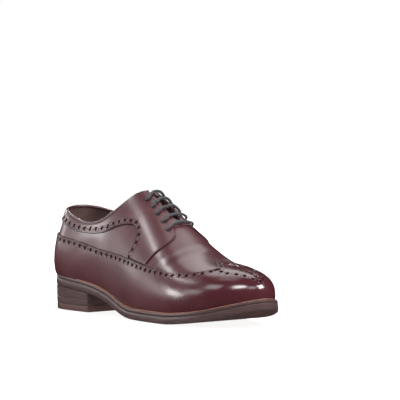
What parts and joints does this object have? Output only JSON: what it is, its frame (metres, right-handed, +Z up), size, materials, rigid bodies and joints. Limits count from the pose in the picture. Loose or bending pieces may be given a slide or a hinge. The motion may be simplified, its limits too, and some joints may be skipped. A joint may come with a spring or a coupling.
{
  "type": "longwing brogue shoe",
  "caption": "Leather derby shoe with a winged toe cap carried round to the heel, punched edging, open lacing, a stitched welt and a stacked heel.",
  "frame": {"origin": "centre of the bounding box at floor level, the shoe standing on its heel and forefoot", "axes": "+X from heel to toe, +Z up, +Y to the wearer's left, the big-toe side of this right shoe"},
  "size_m": [0.3028, 0.1022, 0.1252],
  "materials": {
    "sole_leather": "burnished edge",
    "tip_rubber": "matte",
    "lining_leather": "matte",
    "upper_leather": "high polish",
    "lace_cord": "matte waxed cotton"
  },
  "bodies": {
    "root": {"outsole": "sole_leather", "welt": "sole_leather", "heel_stack": "sole_leather", "top_lift": "sole_leather", "top_lift_rubber": "tip_rubber", "insole": "lining_leather", "upper": "upper_leather", "wing": "upper_leather", "facings": "upper_leather", "tongue": "upper_leather", "lace": "lace_cord"}
  },
  "joints": []
}
